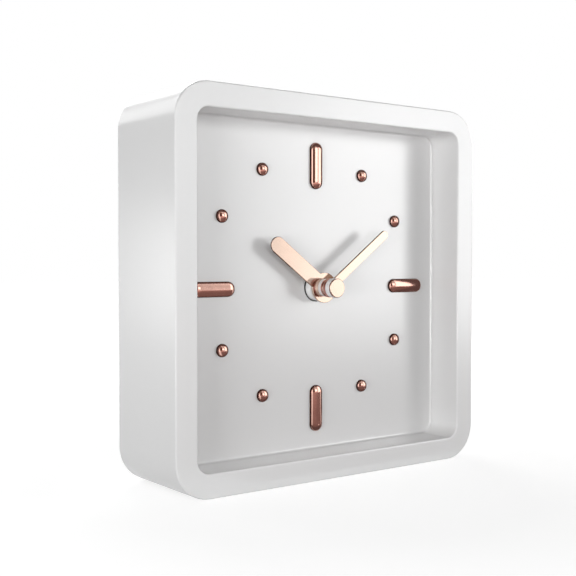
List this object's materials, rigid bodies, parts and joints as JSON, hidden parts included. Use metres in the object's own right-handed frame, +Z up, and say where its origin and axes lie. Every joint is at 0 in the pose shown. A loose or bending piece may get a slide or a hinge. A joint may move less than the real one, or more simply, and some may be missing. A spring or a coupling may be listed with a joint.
{
  "type": "table clock",
  "caption": "Square table clock with a deep rounded frame, an open recessed dial with raised baton and dot markers, plain hands and a battery quartz movement behind.",
  "frame": {"origin": "middle of the flat base, at the surface the clock stands on", "axes": "+Z up, -Y out of the dial towards the viewer, +X to the viewer's right"},
  "size_m": [0.14, 0.0406, 0.14],
  "materials": {
    "white_case": "satin white moulding",
    "white_dial": "smooth satin white",
    "white_cover": "fine matt texture, white",
    "rose_gold_marker": "polished rose gold plate",
    "rose_gold_hand": "polished rose gold plate",
    "polished_chrome": "polished",
    "bush_brass": "turned",
    "black_housing": "fine spark texture, black",
    "black_knob": "satin black",
    "wheel_plastic": "natural acetal",
    "magnet": "sintered",
    "motor_iron": "stamped",
    "bobbin_plastic": "moulded",
    "copper_winding": "enamelled copper wire",
    "board": "green solder mask",
    "can_steel": "drawn, bright",
    "chip_resin": "cast black resin",
    "contact_metal": "nickel plated strip",
    "cell_wrap": "plain shrink sleeve",
    "gasket_rubber": "soft",
    "screw_steel": "zinc plated"
  },
  "bodies": {
    "clock_case": {"case_shell": "white_case", "dial_plate": "white_dial", "rear_cover": "white_cover", "movement_housing": "black_housing", "movement_lid": "black_housing", "centre_bush": "bush_brass", "gasket": "gasket_rubber", "dial_nut": "polished_chrome", "stator": "motor_iron", "coil_core": "motor_iron", "coil_bobbin": "bobbin_plastic", "coil_winding": "copper_winding", "circuit_board": "board", "quartz_crystal": "can_steel", "chip_cover": "chip_resin", "contact_positive": "contact_metal", "contact_negative": "contact_metal", "rear_cover_screws": "screw_steel", "dial_screws": "screw_steel", "movement_lid_screws": "screw_steel", "baton_12": "rose_gold_marker", "baton_3": "rose_gold_marker", "baton_6": "rose_gold_marker", "baton_9": "rose_gold_marker", "dot_1": "rose_gold_marker", "dot_2": "rose_gold_marker", "dot_4": "rose_gold_marker", "dot_5": "rose_gold_marker", "dot_7": "rose_gold_marker", "dot_8": "rose_gold_marker", "dot_10": "rose_gold_marker", "dot_11": "rose_gold_marker"},
    "minute_hand": {"minute_hand": "rose_gold_hand", "hand_cap": "rose_gold_hand", "minute_arbor": "bush_brass", "centre_wheel": "wheel_plastic"},
    "hour_hand": {"hour_hand": "rose_gold_hand", "hour_collar": "rose_gold_hand", "hour_wheel": "wheel_plastic"},
    "minute_wheel": {"minute_wheel": "wheel_plastic"},
    "setting_knob": {"setting_knob": "black_knob", "setting_shaft": "wheel_plastic"},
    "intermediate_wheel": {"intermediate_wheel": "wheel_plastic"},
    "rotor": {"rotor_pinion": "wheel_plastic", "rotor_magnet": "magnet"},
    "battery": {"cell_can": "can_steel", "cell_sleeve": "cell_wrap"}
  },
  "joints": [
    {"name": "minute_hand_turn", "type": "hinge", "parent": "clock_case", "child": "minute_hand", "pos_m": [0, -0.00505, 0.07], "axis": [0, 1, 0], "continuous": true},
    {"name": "hour_hand_turn", "type": "hinge", "parent": "clock_case", "child": "hour_hand", "pos_m": [0, -0.00505, 0.07], "axis": [0, 1, 0], "continuous": true},
    {"name": "minute_wheel_turn", "type": "hinge", "parent": "clock_case", "child": "minute_wheel", "pos_m": [0.00594, 0.00225, 0.07594], "axis": [0, 1, 0], "continuous": true},
    {"name": "setting_knob_turn", "type": "hinge", "parent": "clock_case", "child": "setting_knob", "pos_m": [0.01421, 0.01355, 0.0774], "axis": [0, 1, 0], "continuous": true},
    {"name": "intermediate_wheel_turn", "type": "hinge", "parent": "clock_case", "child": "intermediate_wheel", "pos_m": [-0.00707, 0.00575, 0.07843], "axis": [0, 1, 0], "continuous": true},
    {"name": "rotor_turn", "type": "hinge", "parent": "clock_case", "child": "rotor", "pos_m": [-0.01673, 0.00825, 0.08102], "axis": [0, 1, 0], "continuous": true},
    {"name": "battery_slide", "type": "slide", "parent": "clock_case", "child": "battery", "axis": [0, 1, 0], "range_m": [0, 0.024]}
  ],
  "couplings": [
    {"joint": "hour_hand_turn", "follows": "minute_hand_turn", "ratio": 0.083333},
    {"joint": "minute_wheel_turn", "follows": "minute_hand_turn", "ratio": -0.33333},
    {"joint": "setting_knob_turn", "follows": "minute_hand_turn", "ratio": 1},
    {"joint": "intermediate_wheel_turn", "follows": "minute_hand_turn", "ratio": -10},
    {"joint": "rotor_turn", "follows": "minute_hand_turn", "ratio": 90}
  ]
}
